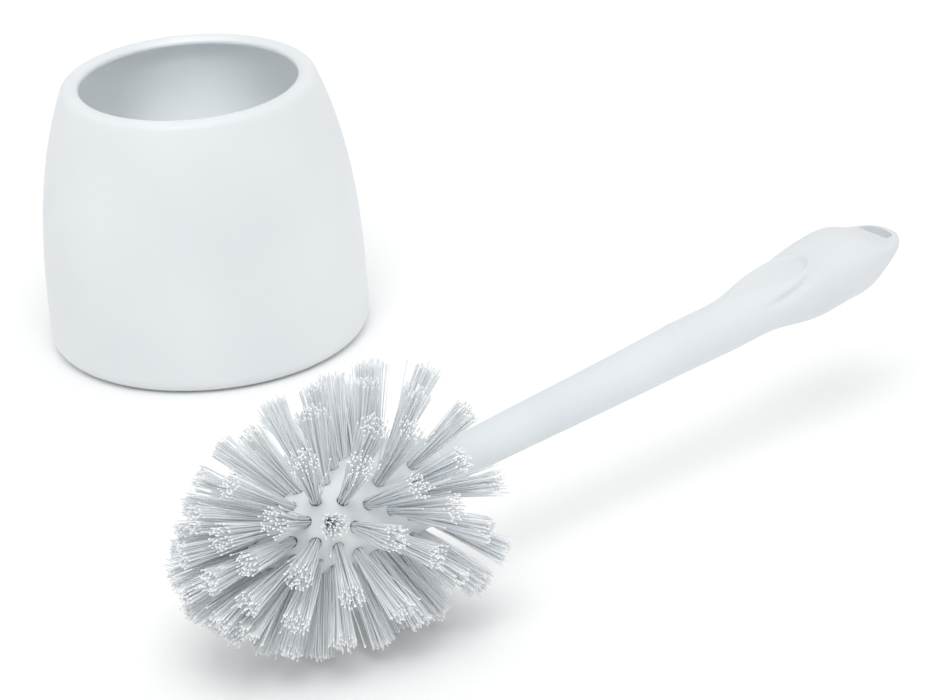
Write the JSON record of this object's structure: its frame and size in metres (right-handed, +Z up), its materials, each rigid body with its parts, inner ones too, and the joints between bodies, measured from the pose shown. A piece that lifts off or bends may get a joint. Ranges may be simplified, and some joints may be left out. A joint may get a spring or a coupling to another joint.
{
  "type": "toilet brush holder with brush",
  "caption": "Open bell-shaped plastic cup with a rolled rim, and a round-headed bristle brush with a contoured grip lying beside it.",
  "frame": {"origin": "centre of the cup's flat underside, where it stands on the floor", "axes": "+Z up; +X in plan along the brush's handle, away from its head, which lies beside the cup on the -Y side"},
  "size_m": [0.3551, 0.3834, 0.1165],
  "materials": {
    "cup_polypropylene": "satin",
    "handle_polypropylene": "satin",
    "block_polypropylene": "satin",
    "bristle_fibre": "satin"
  },
  "bodies": {
    "holder": {"holder_cup": "cup_polypropylene"},
    "brush": {"brush_handle": "handle_polypropylene", "head_block": "block_polypropylene", "tuft_front_1": "bristle_fibre", "tuft_front_2": "bristle_fibre", "tuft_front_3": "bristle_fibre", "tuft_front_4": "bristle_fibre", "tuft_front_5": "bristle_fibre", "tuft_row1_01": "bristle_fibre", "tuft_row1_02": "bristle_fibre", "tuft_row1_03": "bristle_fibre", "tuft_row1_04": "bristle_fibre", "tuft_row1_05": "bristle_fibre", "tuft_row1_06": "bristle_fibre", "tuft_row1_07": "bristle_fibre", "tuft_row1_08": "bristle_fibre", "tuft_row1_09": "bristle_fibre", "tuft_row1_10": "bristle_fibre", "tuft_row2_01": "bristle_fibre", "tuft_row2_02": "bristle_fibre", "tuft_row2_03": "bristle_fibre", "tuft_row2_04": "bristle_fibre", "tuft_row2_05": "bristle_fibre", "tuft_row2_06": "bristle_fibre", "tuft_row2_07": "bristle_fibre", "tuft_row2_08": "bristle_fibre", "tuft_row2_09": "bristle_fibre", "tuft_row2_10": "bristle_fibre", "tuft_row3_01": "bristle_fibre", "tuft_row3_02": "bristle_fibre", "tuft_row3_03": "bristle_fibre", "tuft_row3_04": "bristle_fibre", "tuft_row3_05": "bristle_fibre", "tuft_row3_06": "bristle_fibre", "tuft_row3_07": "bristle_fibre", "tuft_row3_08": "bristle_fibre", "tuft_row3_09": "bristle_fibre", "tuft_row3_10": "bristle_fibre", "tuft_row4_01": "bristle_fibre", "tuft_row4_02": "bristle_fibre", "tuft_row4_03": "bristle_fibre", "tuft_row4_04": "bristle_fibre", "tuft_row4_05": "bristle_fibre", "tuft_row4_06": "bristle_fibre", "tuft_row4_07": "bristle_fibre", "tuft_row4_08": "bristle_fibre", "tuft_row4_09": "bristle_fibre", "tuft_row4_10": "bristle_fibre", "tuft_row5_01": "bristle_fibre", "tuft_row5_02": "bristle_fibre", "tuft_row5_03": "bristle_fibre", "tuft_row5_04": "bristle_fibre", "tuft_row5_05": "bristle_fibre", "tuft_row5_06": "bristle_fibre", "tuft_row5_07": "bristle_fibre", "tuft_row5_08": "bristle_fibre", "tuft_row5_09": "bristle_fibre", "tuft_row5_10": "bristle_fibre", "tuft_tip": "bristle_fibre"}
  },
  "joints": [
    {"name": "brush_lift", "type": "slide", "parent": "holder", "child": "brush", "axis": [0, 0, 1], "range_m": [0, 0.15]}
  ]
}
